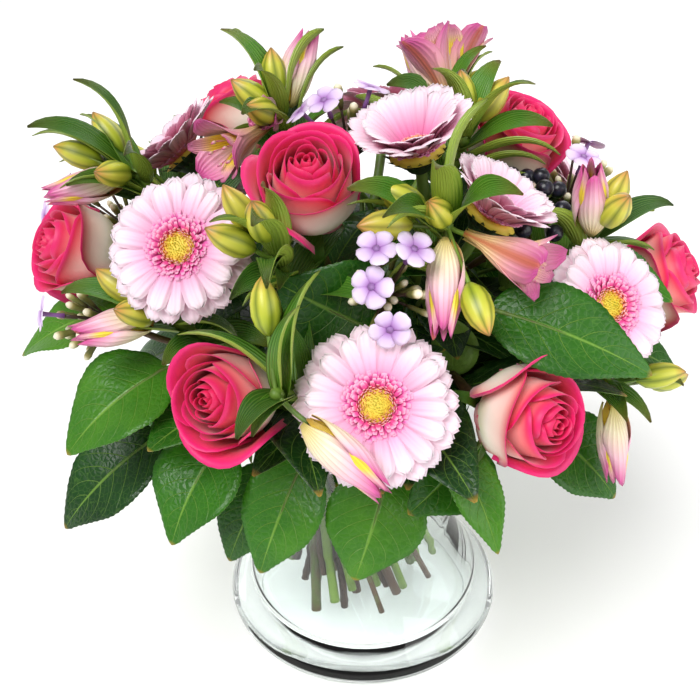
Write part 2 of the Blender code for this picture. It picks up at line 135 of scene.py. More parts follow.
def newMaterial(name, build=None, **sockets):  # build adds its nodes and says which socket takes which
    made = bpy.data.materials.new(name)
    made.use_nodes = True
    shader = made.node_tree.nodes["Principled BSDF"]
    if build:
        add = partial(addNode, made.node_tree)
        tissue = add("Attribute", attribute_name="tissue").outputs["Vector"]
        along, across, side = add("SeparateXYZ", tissue).outputs
        tone = add("Attribute", attribute_name="tone").outputs["Fac"]
        sockets.update(build(add, SimpleNamespace(along=along, across=across, side=side, tone=tone)))
    for socket, value in sockets.items():
        feed(shader.inputs[socket.replace("_", " ")], value)
    return made


# each of these takes where a point is along and across its petal, which side it is on, and the petal's tone
def gerberaRay(add, at):  # thin smooth ray: pale pink, whiter at the tip, deeper at its base and beneath
    upper = add("ValToRGB", at.along, stops={
        0.0: "e45c9e", 0.25: "f092c2", 0.5: "f6bcda", 0.75: "fad8e8", 1.0: "fceaf3"})
    beneath = add("ValToRGB", at.along, stops={0.0: "c9475f", 0.4: "e27c92", 0.8: "f0a9c4", 1.0: "f7cade"})
    both = add("Mix RGBA", at.side, upper, beneath)
    shade = add("MapRange", at.tone, To_Min=0.9, To_Max=1.06)
    toned = add("VectorMath SCALE", both, shade)
    wave = add("Math MULTIPLY", at.across, 11.0)
    groove = add("Math COSINE", wave)
    relief = add("Bump", Height=groove, Distance=0.00012)
    return {"Base_Color": toned, "Normal": relief}


def gerberaFloret(add, at):  # tiny straps round the eye: yellow inside, orange, then hot pink, all with pale tips
    ring = add("ValToRGB", at.tone, stops={
        0.0: "d8d048", 0.06: "ecdc50", 0.15: "f2d44a", 0.24: "ee8a3c", 0.42: "ec5a4c", 0.52: "ee4e96",
        0.75: "ec58ac", 1.0: "f07cc2"})
    tip = add("MapRange", at.along, From_Min=0.6, From_Max=0.98, To_Max=0.7)
    eye = add("MapRange", at.tone, From_Min=0.16, From_Max=0.3)  # no pale tips there
    pale = add("Math MULTIPLY", tip, eye)
    return {"Base_Color": add("Mix RGBA", pale, ring, "fcd4e6")}


def rosePetal(add, at):  # velvety petal: hot pink margin, coral face, cream and pale pink at the outside's base
    edge = add("Math ABSOLUTE", at.across)
    lower = add("Math MULTIPLY", edge, 0.93)
    margin = add("Math SMOOTH_MAX", at.along, lower, 0.15)
    power = add("Math MULTIPLY_ADD", at.tone, 1.6, 0.9)
    eased = add("Math POWER", margin, power)
    outer = add("ValToRGB", eased, stops={
        0.0: "e2e2a8", 0.25: "fbecdc", 0.5: "fbcfc2", 0.7: "f88f8c", 0.84: "ee3c66", 0.93: "e4146a"})
    face = add("ValToRGB", margin, stops={0.0: "fd9c86", 0.45: "f8606c", 0.75: "ec2c5c", 0.93: "e61672"})
    both = add("Mix RGBA", at.side, outer, face)
    deep = add("MapRange", at.tone, From_Min=0.6, From_Max=0.1, To_Max=0.6)
    heart = add("Mix RGBA", deep, both, "e01246")
    grain = add("TexNoise", Vector=add("TexCoord").outputs["Object"], Scale=700.0, Detail=3.0)
    relief = add("Bump", Height=grain, Distance=0.0002, Strength=0.4)
    return {"Base_Color": heart, "Normal": relief}


def alstroemeriaTepal(add, at):  # silky tepal: cream face, pink tip, a russet stripe outside; inner ones yellow
    face = add("ValToRGB", at.along, stops={0.0: "e9d36a", 0.35: "f9ecca", 0.68: "f4bfd0", 0.95: "d6579c"})
    back = add("ValToRGB", at.along, stops={0.0: "b98a2e", 0.3: "e9c08a", 0.6: "ea9fae", 0.95: "c74b92"})
    outer = add("Mix RGBA", at.side, face, back)
    edge = add("Math ABSOLUTE", at.across)
    stripe = add("MapRange", edge, From_Min=0.42, From_Max=0.1, To_Max=0.8)
    striped = add("Math MULTIPLY", stripe, at.side)
    russet = add("Mix RGBA", striped, outer, "c4623a")
    yellow = add("ValToRGB", at.along, stops={
        0.0: "d8a63c", 0.35: "f4d820", 0.72: "f6dc3c", 0.86: "f2b4b8", 1.0: "d25a9c"})
    inner = add("Math GREATER_THAN", at.tone, 0.5)
    either = add("Mix RGBA", inner, russet, yellow)
    veins = add("Math COSINE", add("Math MULTIPLY", at.across, 26.0))
    streak = add("MapRange", veins, From_Min=0.55, From_Max=1.0, To_Max=0.28)
    streaked = add("Mix RGBA", streak, either, "a8543c")
    return {"Base_Color": streaked, "Normal": add("Bump", Height=veins, Distance=0.0001)}


def alstroemeriaBud(add, at):  # plump waxy bud: yellow-green with darker ribs and an orange-brown tip
    body = add("ValToRGB", at.along, stops={
        0.0: "7f9a26", 0.3: "b4c034", 0.62: "d2ce4a", 0.84: "cf9a4c", 1.0: "8a4e2c"})
    line = add("MapRange", at.across, From_Min=0.2, From_Max=-1.0, To_Max=0.8)
    ribbed = add("Mix RGBA", line, body, "5f7418")
    warm = add("MapRange", at.tone, From_Min=0.55, From_Max=1.0, To_Max=0.55)
    return {"Base_Color": add("Mix RGBA", warm, ribbed, "c28a4c")}


def strapLeaf(add, at):  # lance-shaped leaf with fine parallel veins, yellow-green beneath, bronze at the tip
    upper = add("ValToRGB", at.along, stops={0.0: "6b9a26", 0.7: "4a8620", 0.93: "76822a", 1.0: "8a6a2a"})
    dark = add("Mix RGBA", at.tone, upper, "1f4f14")
    beneath = add("Mix RGBA", at.side, dark, "96ae3e")
    veins = add("Math COSINE", add("Math MULTIPLY", at.across, 34.0))
    pale = add("MapRange", veins, From_Min=0.3, From_Max=1.0, To_Max=0.2)
    veined = add("Mix RGBA", pale, beneath, "a9c45a")
    return {"Base_Color": veined, "Normal": add("Bump", Height=veins, Distance=0.00015)}


def stem(add, at):  # cut stem: smooth green to woody brown, streaked lengthways
    long = add("Mapping", Vector=add("TexCoord").outputs["Object"], Scale=(1.0, 1.0, 0.25))
    streaks = add("TexNoise", Vector=long, Scale=260.0, Detail=4.0)
    shifted = add("Math MULTIPLY_ADD", streaks, 0.5, at.tone)
    bark = add("ValToRGB", shifted, stops={0.3: "7a9c34", 0.55: "55702a", 0.75: "5c4028", 1.0: "38241a"})
    return {"Base_Color": bark, "Normal": add("Bump", Height=streaks, Distance=0.0004, Strength=0.5)}


def gerberaCalyx(add, at):  # bell of bracts under a gerbera: dark green, with painted shade making it nearly black in its folds
    # the near-black stop at the base of each bract and of the bell is painted shade in the folds; the brown tip is
    # the bracts' own colour
    return {"Base_Color": add("ValToRGB", at.along, stops={
        0.0: "16210f", 0.5: "1f3a16", 0.85: "35521f", 1.0: "5a3a2a"})}


def phloxPetal(add, at):  # five-lobed floret: lilac-white lobes round a purple throat on a purple tube
    lobes = add("ValToRGB", at.along, stops={0.0: "8a4a9c", 0.22: "b98ccc", 0.5: "dcc2ea", 1.0: "eddff4"})
    return {"Base_Color": add("Mix RGBA", at.tone, lobes, "8e5aa4")}


def phloxBud(add, at):  # club-shaped bud: brown-green calyx with a cream tip
    return {"Base_Color": add("ValToRGB", at.along, stops={
        0.0: "4a3a22", 0.4: "6f7434", 0.65: "a39a5c", 0.8: "efe6c4", 1.0: "f4ecd6"})}


def ivyBerry(add, at):  # ripe ivy berry: blue-black and waxy, with a faint bloom; one is still orange-brown
    bloom = add("TexNoise", Vector=add("TexCoord").outputs["Object"], Scale=320.0, Detail=3.0)
    wax = add("ValToRGB", bloom, stops={0.4: "100e16", 0.75: "2c2c40"})
    return {"Base_Color": add("Mix RGBA", at.tone, wax, "b8792a")}


def salalLeaf(add, at):  # leathery glossy leaf: pale curved veins, quilted between them, paler and dull beneath
    edge = add("Math ABSOLUTE", at.across)
    sweep = add("Math POWER", edge, 1.35)
    back = add("Math MULTIPLY_ADD", sweep, -0.3, at.along)
    pairs = add("Math MULTIPLY", back, 7.5)
    step = add("Math PINGPONG", pairs, 0.5)
    lateral = add("MapRange", step, From_Min=0.04, From_Max=0.0)
    fade = add("MapRange", edge, From_Min=1.0, From_Max=0.55)
    faded = add("Math MULTIPLY", lateral, fade)
    rib = add("MapRange", edge, From_Min=0.05, From_Max=0.015)
    veins = add("Math MAXIMUM", faded, rib)
    place = add("TexCoord").outputs["Object"]
    cells = add("TexVoronoi", feature="DISTANCE_TO_EDGE", Vector=place, Scale=330.0)
    mottle = add("TexNoise", Vector=place, Scale=45.0, Detail=3.0)
    mixTone = add("Math MULTIPLY_ADD", mottle, 0.5, -0.25)
    depth = add("Math ADD", mixTone, at.tone)
    upper = add("ValToRGB", depth, stops={0.0: "548e1a", 0.35: "306c12", 0.7: "16460e", 1.0: "08240c"})
    green = add("Mix RGBA", at.side, upper, "7da245")
    netting = add("MapRange", cells, From_Min=0.05, From_Max=0.0, To_Max=0.16)
    netted = add("Mix RGBA", netting, green, "7fae4a")
    shown = add("Math MULTIPLY", veins, 0.5)
    veined = add("Mix RGBA", shown, netted, "8db84a")
    scorch = add("MapRange", at.along, From_Min=0.955, From_Max=1.0)
    tipped = add("Mix RGBA", scorch, veined, "a88a34")
    quilt = add("Math MULTIPLY_ADD", veins, -0.8, cells)
    return {"Base_Color": tipped, "Normal": add("Bump", Height=quilt, Distance=0.0006, Strength=0.7)}


rayTissue = newMaterial("gerberaRay", gerberaRay, Roughness=0.5, Sheen_Weight=0.15)
floretTissue = newMaterial("gerberaFloret", gerberaFloret, Roughness=0.55)
calyxTissue = newMaterial("gerberaCalyx", gerberaCalyx, Roughness=0.6)
petalTissue = newMaterial("rosePetal", rosePetal, Roughness=0.5, Sheen_Weight=0.25)
tepalTissue = newMaterial("alstroemeriaTepal", alstroemeriaTepal, Roughness=0.42, Sheen_Weight=0.1)
budTissue = newMaterial("alstroemeriaBud", alstroemeriaBud, Roughness=0.38)
strapTissue = newMaterial("strapLeaf", strapLeaf, Roughness=0.36)
stemTissue = newMaterial("stem", stem, Roughness=0.5)
lobeTissue = newMaterial("phloxPetal", phloxPetal, Roughness=0.5)
clubTissue = newMaterial("phloxBud", phloxBud, Roughness=0.5)
berryTissue = newMaterial("ivyBerry", ivyBerry, Roughness=0.32)
salalTissue = newMaterial("salalLeaf", salalLeaf, Roughness=0.34, Specular_IOR_Level=0.35)
# blown and pressed soda glass: clear, and bright where its thick foot bends the light
clearGlass = newMaterial("clearGlass", Base_Color="f6fbfa", Roughness=0.0, IOR=1.44, Transmission_Weight=1.0)
# a studio's paper floor: matt and nearly white
studioPaper = newMaterial("studioPaper", Base_Color="f6f6f5", Roughness=0.7)
print("materials made")


# shapes: points, faces, and for each point its tissue (along, across, side) and tone
def newShape():
    return {"verts": [], "faces": [], "tissue": [], "tone": [], "count": 0}


def turnedPoints(points, matrix):
    m = np.array(matrix)
    return points @ m[:3, :3].T + m[:3, 3]


def addPart(shape, verts, faces, tissue, tone, matrix=None):
    verts = np.asarray(verts, float)
    if matrix is not None:
        verts = turnedPoints(verts, matrix)
    start = shape["count"]
    shape["verts"].append(verts)
    shape["faces"] += [[start + i for i in face] for face in faces]
    shape["tissue"].append(np.asarray(tissue, float))
    shape["tone"].append(np.broadcast_to(np.asarray(tone, float), (len(verts),)))
    shape["count"] += len(verts)


def addShape(shape, other, matrix=None):
    verts, tissue, tone = (np.concatenate(other[key]) for key in ("verts", "tissue", "tone"))
    addPart(shape, verts, other["faces"], tissue, tone, matrix)


def addShell(shape, grid, thick, tone=0.5, matrix=None):  # a thin closed sheet; rows run along it, columns across
    grid = np.asarray(grid, float)
    rows, cols = grid.shape[:2]
    normal = np.cross(np.gradient(grid, axis=1), np.gradient(grid, axis=0))
    normal /= np.linalg.norm(normal, axis=2, keepdims=True) + 1e-15
    depth = np.full((rows, cols, 1), thick)
    depth[[0, -1], :] *= 0.4  # thinner at its margins
    depth[:, [0, -1]] *= 0.4
    verts = np.concatenate([grid.reshape(-1, 3), (grid - normal * depth).reshape(-1, 3)])
    low = rows * cols
    faces = []
    for i in range(rows - 1):
        for j in range(cols - 1):
            a, d = i * cols + j, (i + 1) * cols + j
            faces.append((a, a + 1, d + 1, d))
            faces.append((low + d, low + d + 1, low + a + 1, low + a))
        a, d = i * cols, (i + 1) * cols
        faces.append((a, d, low + d, low + a))
        a, d = a + cols - 1, d + cols - 1
        faces.append((d, a, low + a, low + d))
    for j in range(cols - 1):
        faces.append((j + 1, j, low + j, low + j + 1))
        a = (rows - 1) * cols + j
        faces.append((a, a + 1, low + a + 1, low + a))
    along, across = np.meshgrid(np.linspace(0, 1, rows), np.linspace(-1, 1, cols), indexing="ij")
    top = np.stack([along, across, np.zeros_like(along)], axis=2).reshape(-1, 3)
    addPart(shape, verts, faces, np.concatenate([top, top + (0, 0, 1)]), tone, matrix)


def addTube(shape, points, radii, sides=8, tone=0.5, ribs=0, ribDepth=0.0, matrix=None):  # closed at both ends
    points = [Vector(p) for p in points]
    last = len(points) - 1
    ways = [(points[min(i + 1, last)] - points[max(i - 1, 0)]).normalized() for i in range(last + 1)]
    across = ways[0].orthogonal().normalized()
    verts, tissue = [], []
    for i, (point, way, radius) in enumerate(zip(points, ways, radii)):
        across = (across - way * across.dot(way)).normalized()
        side = way.cross(across)
        for k in range(sides):
            a = 2 * pi * k / sides
            wave = cos(ribs * a)
            verts.append(point + (across * cos(a) + side * sin(a)) * radius * (1 + ribDepth * wave))
            tissue.append((i / last, wave if ribs else 0.0, 0.0))
    faces = []
    for a in range(0, last * sides, sides):
        for k in range(sides):
            n = (k + 1) % sides
            faces.append((a + k, a + n, a + sides + n, a + sides + k))
    faces.append(tuple(range(sides))[::-1])
    faces.append(tuple(range(last * sides, (last + 1) * sides)))
    addPart(shape, verts, faces, tissue, tone, matrix)


def blade(length, width, outline, rows=10, cols=6, bend=0.0, cup=0.0, twist=0.0, wave=0.0, phase=0.0):
    # a strap along +Y, its face to +Z; bend lifts the tip, cup lifts the edges
    grid = np.zeros((rows + 1, cols + 1, 3))
    y = z = 0.0
    for i in range(rows + 1):
        u = i / rows
        lean = bend(u) if callable(bend) else bend * u
        if i:
            y += cos(lean) * length / rows
            z += sin(lean) * length / rows
        half = width / 2 * outline(u)
        for j in range(cols + 1):
            v = 2 * j / cols - 1
            lift = half * (cup * v * v + wave * v * abs(v) * sin(9 * u + phase))
            x = v * half * cos(twist * u) - lift * sin(twist * u)
            lift = v * half * sin(twist * u) + lift * cos(twist * u)
            grid[i, j] = (x, y - sin(lean) * lift, z + cos(lean) * lift)
    return grid


def laid(grid, at, way):  # a strap moved to a point, running along a way
    return turnedPoints(grid, Matrix.Translation(at) @ way.to_track_quat("Y", "Z").to_matrix().to_4x4())


def meshOf(name, shape, finish):
    mesh = bpy.data.meshes.new(name)
    mesh.from_pydata(np.concatenate(shape["verts"]).tolist(), [], shape["faces"])
    for key, kind, field in (("tissue", "FLOAT_VECTOR", "vector"), ("tone", "FLOAT", "value")):
        values = np.concatenate(shape[key]).astype(np.float32).ravel()
        mesh.attributes.new(key, kind, "POINT").data.foreach_set(field, values)
    mesh.polygons.foreach_set("use_smooth", [True] * len(mesh.polygons))
    mesh.materials.append(finish)
    return mesh


def addPiece(name, shape, finish, node, matrix=None):
    if not shape["count"]:
        return None
    placed = newShape()
    addShape(placed, shape, matrix)
    piece = bpy.data.objects.new(name, meshOf(name, placed, finish))
    scene.collection.objects.link(piece)
    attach(piece, "root")
    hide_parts(node)
    return piece


def turnZ(angle):
    return Matrix.Rotation(angle, 4, "Z")


def standing(base, axis, roll):  # puts what is made along +Z on a base, along an axis
    return Matrix.Translation(base) @ axis.to_track_quat("Z", "Y").to_matrix().to_4x4() @ turnZ(roll)


def smoothLine(points, steps, sharp=-2):  # through the points; a turn whose cosine is under sharp stays a corner
    line = []
    for i in range(len(points) - 1):
        a, b = points[max(i - 1, 0)], points[i]
        c, d = points[i + 1], points[min(i + 2, len(points) - 1)]
        if (b - a).length > 1e-6 and (b - a).normalized().dot((c - b).normalized()) < sharp:
            a = b * 2 - c
        if (d - c).length > 1e-6 and (d - c).normalized().dot((c - b).normalized()) < sharp:
            d = c * 2 - b
        for t in (k / steps for k in range(steps)):
            cubic = (c - a) * t + (a * 2 - b * 5 + c * 4 - d) * t * t + (b * 3 - a - c * 3 + d) * t ** 3
            line.append(b + cubic / 2)
    return line + [points[-1]]


# what repeats round a head's axis: rays, florets, bracts and lobes
def aroundTree():
    tree = bpy.data.node_groups.new("piecesAroundAxis", "GeometryNodeTree")
    add = partial(addNode, tree)
    ends = ("Inner ", "Outer ")
    pairs = {"radius": (0.01, 0.01), "rise": (0.0, 0.0), "lift": (0.0, 0.0), "size": (1.0, 1.0), "tone": (0.0, 1.0)}
    sockets = [("Geometry", "Geometry", None), ("Count", "Int", 21), ("Seed", "Int", 0),
               ("Piece", "Object", None), ("Tissue", "Material", None),
               ("Tone spread", "Float", 0.1), ("Turn", "Float", golden), ("Wobble", "Float", 0.05)]
    for size, values in pairs.items():
        sockets += [(end + size, "Float", value) for end, value in zip(ends, values)]
    for name, kind, default in sockets:
        socket = tree.interface.new_socket(name, in_out="INPUT", socket_type="NodeSocket" + kind)
        if default is not None:
            socket.default_value = default
    tree.interface.new_socket("Geometry", in_out="OUTPUT", socket_type="NodeSocketGeometry")
    given = add("NodeGroupInput").outputs
    number = add("GeometryNodeInputIndex")
    share = add("Math DIVIDE", add("Math ADD", number, 0.5), given["Count"])
    mixed = {size: add("Mix", share, *(given[end + size] for end in ends)) for size in pairs if size != "radius"}
    squares = [add("Math POWER", given[end + "radius"], 2.0) for end in ends]
    radius = add("Math SQRT", add("Mix", share, *squares))
    sway = []
    for shift in range(4):
        seed = add("Math ADD", given["Seed"], 17.0 * shift)
        sway.append(add("FunctionNodeRandomValue FLOAT", -1.0, 1.0, Seed=seed))
    swayed = [add("Math MULTIPLY", value, given["Wobble"]) for value in sway]
    turned = add("Math MULTIPLY_ADD", number, given["Turn"], swayed[0])
    lifted = add("Math ADD", mixed["lift"], swayed[1])
    sized = add("Math MULTIPLY_ADD", swayed[2], 0.6, mixed["size"])
    toned = add("Math MULTIPLY_ADD", sway[3], given["Tone spread"], mixed["tone"])
    out = add("CombineXYZ", Y=radius, Z=mixed["rise"])
    swung = add("VectorRotate", rotation_type="Z_AXIS", Vector=out, Angle=turned)
    spokes = add("GeometryNodeMeshLine", Count=given["Count"])
    spread = add("GeometryNodeSetPosition", Geometry=spokes, Position=swung)
    facing = add("CombineXYZ", lifted, swayed[3], turned)
    piece = add("GeometryNodeObjectInfo", Object=given["Piece"]).outputs["Geometry"]
    placed = add("GeometryNodeInstanceOnPoints", Points=spread, Instance=piece, Rotation=facing, Scale=sized)
    marked = add("GeometryNodeStoreNamedAttribute", data_type="FLOAT", domain="INSTANCE", Name="tone",
                 Geometry=placed, Value=toned)
    real = add("GeometryNodeRealizeInstances", marked)
    add("NodeGroupOutput", add("GeometryNodeSetMaterial", Geometry=real, Material=given["Tissue"]))
    return tree


around = aroundTree()
socketIds = {item.name: item.identifier for item in around.interface.items_tree if item.in_out == "INPUT"}


def pieceSource(name, grid, thick):  # one small piece for the tree to repeat
    shape = newShape()
    addShell(shape, grid, thick)
    mesh = meshOf(name, shape, stemTissue)
    mesh.attributes.remove(mesh.attributes["tone"])  # the tree's own tone holds instead
    return bpy.data.objects.new(name, mesh)


def piecesAround(source, finish, seed, count, turn=None, wobble=0.05, toneSpread=0.1, **pairs):
    # what goes from an inner to an outer end is given as a pair, or as one value for both
    host = bpy.data.objects.new("host", bpy.data.meshes.new("host"))
    scene.collection.objects.link(host)
    maker = host.modifiers.new("around", "NODES")
    maker.node_group = around
    values = {"Piece": source, "Tissue": finish, "Seed": seed, "Count": count, "Wobble": wobble,
              "Tone spread": toneSpread, "Turn": 2 * pi / count if turn is None else turn}
    for name, pair in pairs.items():
        values["Inner " + name], values["Outer " + name] = pair if isinstance(pair, tuple) else (pair, pair)
    for name, value in values.items():
        maker[socketIds[name]] = value
    bpy.context.view_layer.update()
    mesh = bpy.data.meshes.new_from_object(host.evaluated_get(bpy.context.evaluated_depsgraph_get()))
    bpy.data.objects.remove(host)
    read = {}
    for name, data, field, width in (("points", mesh.vertices, "co", 3),
                                     ("tissue", mesh.attributes["tissue"].data, "vector", 3),
                                     ("tone", mesh.attributes["tone"].data, "value", 1)):
        read[name] = np.zeros(len(mesh.vertices) * width)
        data.foreach_get(field, read[name])
    shape = newShape()
    faces = [tuple(p.vertices) for p in mesh.polygons]
    addPart(shape, read["points"].reshape(-1, 3), faces, read["tissue"].reshape(-1, 3), read["tone"])
    return shape


# reading the frame: each cut stem is a tube of six-sided rings with its head at the end
def welded(name):
    edit = bmesh.new()
    edit.from_mesh(nodes[name].data)
    bmesh.ops.remove_doubles(edit, verts=edit.verts, dist=2e-5)
    return edit


def middle(points):
    return sum((Vector(p) for p in points), Vector()) / len(points)


def beyond(ring, seen):
    return {e.other_vert(v) for v in ring for e in v.link_edges} - seen


def footRing(edit, reach):
    low = min(edit.verts, key=lambda v: v.co.z)
    return {v for v in edit.verts if (v.co - low.co).length < reach}


def stemOf(edit, radius, sides=6):  # the stem's middle line, and the points that are left for the head
    ring = footRing(edit, radius * 2.3)
    seen, line = set(ring), [middle([v.co for v in ring])]
    while True:
        ring = beyond(ring, seen)
        centre = middle([v.co for v in ring]) if ring else None
        if len(ring) != sides or max((v.co - centre).length for v in ring) > radius * 1.4:
            return line, [v for v in edit.verts if v not in seen], centre
        line.append(centre)
        seen |= ring


def headOf(head):  # a turned head's ring round its pole, its axis and its pole
    pole = max(head, key=lambda v: len(v.link_edges))
    ring = [e.other_vert(pole).co for e in pole.link_edges]
    centre = middle(ring)
    out = centre - middle([v.co for v in head])
    axis = Vector()
    for a in ring:
        for b in ring:
            cross = (a - centre).cross(b - centre)
            axis += cross if cross.dot(out) > 0 else -cross
    return centre, axis.normalized(), pole.co.copy()


trussRead = {"hubLift": 3.2 * mm, "nearest": 12 * mm, "slack": 0.2 * mm, "ring": 0.8 * mm}


def readTruss(name, radius):  # the stem's line, the hub, and for each bloom its tip and the radius of its end
    edit = welded(name)
    line, head, centre = stemOf(edit, radius)
    hub = centre + (centre - line[-1]).normalized() * trussRead["hubLift"]
    reach = {v: (v.co - hub).length for v in head}
    blooms, seen = [], set()
    for v in sorted(head, key=lambda v: (-reach[v], tuple(v.co))):
        beside = [e.other_vert(v) for e in v.link_edges]
        if v in seen or reach[v] < trussRead["nearest"]:
            continue
        if any(reach.get(o, 0) > reach[v] + trussRead["slack"] for o in beside):
            continue
        end, todo = [], [v]
        seen.add(v)
        while todo:
            here = todo.pop()
            end.append(here.co.copy())
            for e in here.link_edges:
                other = e.other_vert(here)
                if other not in seen and abs(reach.get(other, 0) - reach[v]) < trussRead["ring"]:
                    seen.add(other)
                    todo.append(other)
        tip = middle(end)
        if len(end) > 3:
            blooms.append((tip, max((p - tip).length for p in end)))
    edit.free()
    return line, hub, sorted(blooms, key=lambda b: tuple(b[0]))


def addStem(shape, line, radius, tone, knots=0.0, seed=0):
    rng = Random(seed)
    curve = smoothLine(line, 6)
    radii = [radius * (1 + rng.uniform(-0.05, 0.05)) for _ in curve]
    if knots:
        for i in range(2, len(radii), 7):
            radii[i] *= 1 + knots
    radii[0] *= 1.06
    addTube(shape, curve, radii, 8, tone)


fronts = []  # each turned head's top, the way it looks, its radius and its depth: leaves keep clear before it


def hidden(grid):  # how many of a leaf's points would be in a head or before it
    points, count = np.asarray(grid).reshape(-1, 3), 0
    for top, axis, radius, depth in fronts:
        out = points - np.array(top)
        ahead = out @ np.array(axis)
        beside = np.linalg.norm(out - ahead[:, None] * np.array(axis), axis=1)
        count += int(((ahead > -depth) & (ahead < 70 * mm) & (beside < radius)).sum())
    return count


def addLeaf(shape, tries, tone):  # of several tries, the one that hides the least
    addShell(shape, min(tries, key=hidden), 0.4 * mm, tone)


# gerberas
gerberaForm = {"discRadius": 9.5 * mm, "discDepth": 1.5 * mm, "calyxHeight": 11 * mm, "stemRadius": 2.7 * mm,
               "rayWidth": 10.8 * mm, "rayRoot": 3.5 * mm, "rays": 22, "innerRays": 18,
               "transFlorets": 220, "discFlorets": 170, "bracts": 13}


def rayOutline(u):
    tip = 1 if u < 0.8 else sqrt(max(1 - ((u - 0.8) / 0.215) ** 2, 0.02))
    return (0.34 + 0.66 * sin(min(u / 0.62, 1) * pi / 2)) * tip


def raySource(name, length, width):
    grid = blade(length, width, rayOutline, 9, 4, bend=lambda u: 0.28 * sin(pi * u) - 0.42 * u, cup=-0.18)
    grid[-1, [1, 3], 1] -= length * 0.03  # shallow notches at the tip
    return pieceSource(name, grid, 0.5 * mm)


floretForm = pieceSource("transFloret", blade(5.4 * mm, 2.5 * mm, lambda u: 0.7 + 0.4 * sin(pi * u), 3, 2,
                                              bend=-0.55, cup=0.35), 0.25 * mm)
knobForm = pieceSource("discFloret", blade(2.2 * mm, 1.5 * mm, lambda u: 0.6 + 0.4 * u, 2, 2, bend=0.3), 0.6 * mm)
bractForm = pieceSource("bract", blade(9.5 * mm, 3.6 * mm, lambda u: (1 - u) ** 0.6 * 0.95 + 0.05, 4, 2,
                                       bend=-0.5, cup=-0.4), 0.4 * mm)


def gerberaHead(name, number):
    edit = welded(name)
    line, head, _ = stemOf(edit, gerberaForm["stemRadius"])
    _, axis, pole = headOf(head)
    disc = pole - axis * gerberaForm["discDepth"]
    far = sorted((v.co for v in head), key=lambda p: (p - disc).length)[-14:]
    rim = middle(far)
    rimRadius = sum((p - rim).length for p in far) / len(far)
    rimHeight = (rim - disc).dot(axis)
    edit.free()
    fronts.append((disc, axis, rimRadius * 0.92, 12 * mm))
    reach = rimRadius - gerberaForm["discRadius"]
    cup = atan2(rimHeight, reach)
    matrix = standing(disc, axis, Random(number).uniform(0, 6))
    rays = newShape()
    full, width = hypot(reach, rimHeight) + gerberaForm["rayRoot"], gerberaForm["rayWidth"]
    long = raySource(name + "Ray", full, width)
    short = raySource(name + "RayShort", full * 0.86, width * 0.9)
    for source, count, lift, rise, seed in ((long, gerberaForm["rays"], cup - 0.04, 0.0, 0),
                                            (short, gerberaForm["innerRays"], cup + 0.16, 1.2 * mm, 7)):
        addShape(rays, piecesAround(source, rayTissue, number * 31 + seed, count, wobble=0.055, toneSpread=0.4,
                                    radius=6 * mm, rise=rise, lift=lift, tone=0.5))
    addPiece(name + "Rays", rays, rayTissue, name, matrix)
    florets = newShape()
    spread = min(max(cup, 0), 0.9)
    for form, count, radii, lifts, sizes, tones in (
            (floretForm, gerberaForm["transFlorets"], (7.3 * mm, (12.6 - 4 * spread) * mm),
             (1.15, 0.4 + cup * 0.6), (0.75, 1.05), (0.52, 1.0)),
            (knobForm, gerberaForm["discFlorets"], (0.3 * mm, 7.8 * mm), (1.35, 0.95), (0.6, 1.0), (0.0, 0.46))):
        addShape(florets, piecesAround(form, floretTissue, number * 7 + count, count, golden, 0.12, 0.05,
                                       radius=radii, rise=(2.2 * mm, 1.7 * mm), lift=lifts, size=sizes, tone=tones))
    addTube(florets, [(0, 0, -1 * mm), (0, 0, 1.2 * mm), (0, 0, 2.3 * mm)], [13 * mm, 8 * mm, 4 * mm], 16, 0.12)
    addPiece(name + "Florets", florets, floretTissue, name, matrix)
    cupped = newShape()
    bell, bracts = gerberaForm["calyxHeight"], gerberaForm["bracts"]
    addTube(cupped, [(0, 0, z) for z in (-bell, -bell * 0.85, -bell * 0.5, -1.5 * mm, -0.6 * mm)],
            [3.2 * mm, 5.6 * mm, 7.9 * mm, 8.8 * mm, 8.0 * mm], 18, 0.3)
    for rise, lift in ((-10.0, 1.05), (-7.0, 1.15), (-4.5, 1.0)):
        addShape(cupped, piecesAround(bractForm, calyxTissue, number + bracts, bracts, 2 * pi / bracts + 0.35,
                                      radius=(13.2 + rise) * 0.95 * mm, rise=rise * mm, lift=lift))
    addPiece(name + "Calyx", cupped, calyxTissue, name, matrix)
    stalk = newShape()
    addStem(stalk, line + [disc - axis * bell], gerberaForm["stemRadius"], 0.05 + 0.12 * (number % 3), seed=number)
    addPiece(name + "Stem", stalk, stemTissue, name)


for number in range(1, 10):
    gerberaHead(f"gerbera_{number}", number)
print("gerberas made")


# roses
roseForm = {"radius": 24.5 * mm, "length": 50 * mm, "stemRadius": 2.8 * mm, "petals": 21, "heart": 3.2, "skin": 5.2,
            "sepals": 5, "sepalLength": (24, 31), "sepalWidth": 8.5 * mm}


def wrapped(length, radius, around, wrap, tuck, profile, outline, rows=10, cols=10, curl=0.0, ripple=0.0, phase=0.0):
    # a sheet wrapped round +Z, its outside facing out; curl rolls its upper margin outwards
    grid = np.zeros((rows + 1, cols + 1, 3))
    for i in range(rows + 1):
        u = i / rows
        spread = 0.3 + 0.7 * sin(min(u * 1.5, 1) * pi / 2)
        rolled = max(u - 0.72, 0) / 0.28
        for j in range(cols + 1):
            v = 2 * j / cols - 1
            r = radius * profile(u) * (1 + tuck * v - 0.07 * v * v) + ripple * u * u * sin(4.2 * v + phase)
            r += curl * rolled ** 1.6
            a = around + wrap * v * spread
            grid[i, j] = (r * cos(a), r * sin(a), length * u * outline(v) - curl * 0.75 * rolled ** 2.4)
    return grid


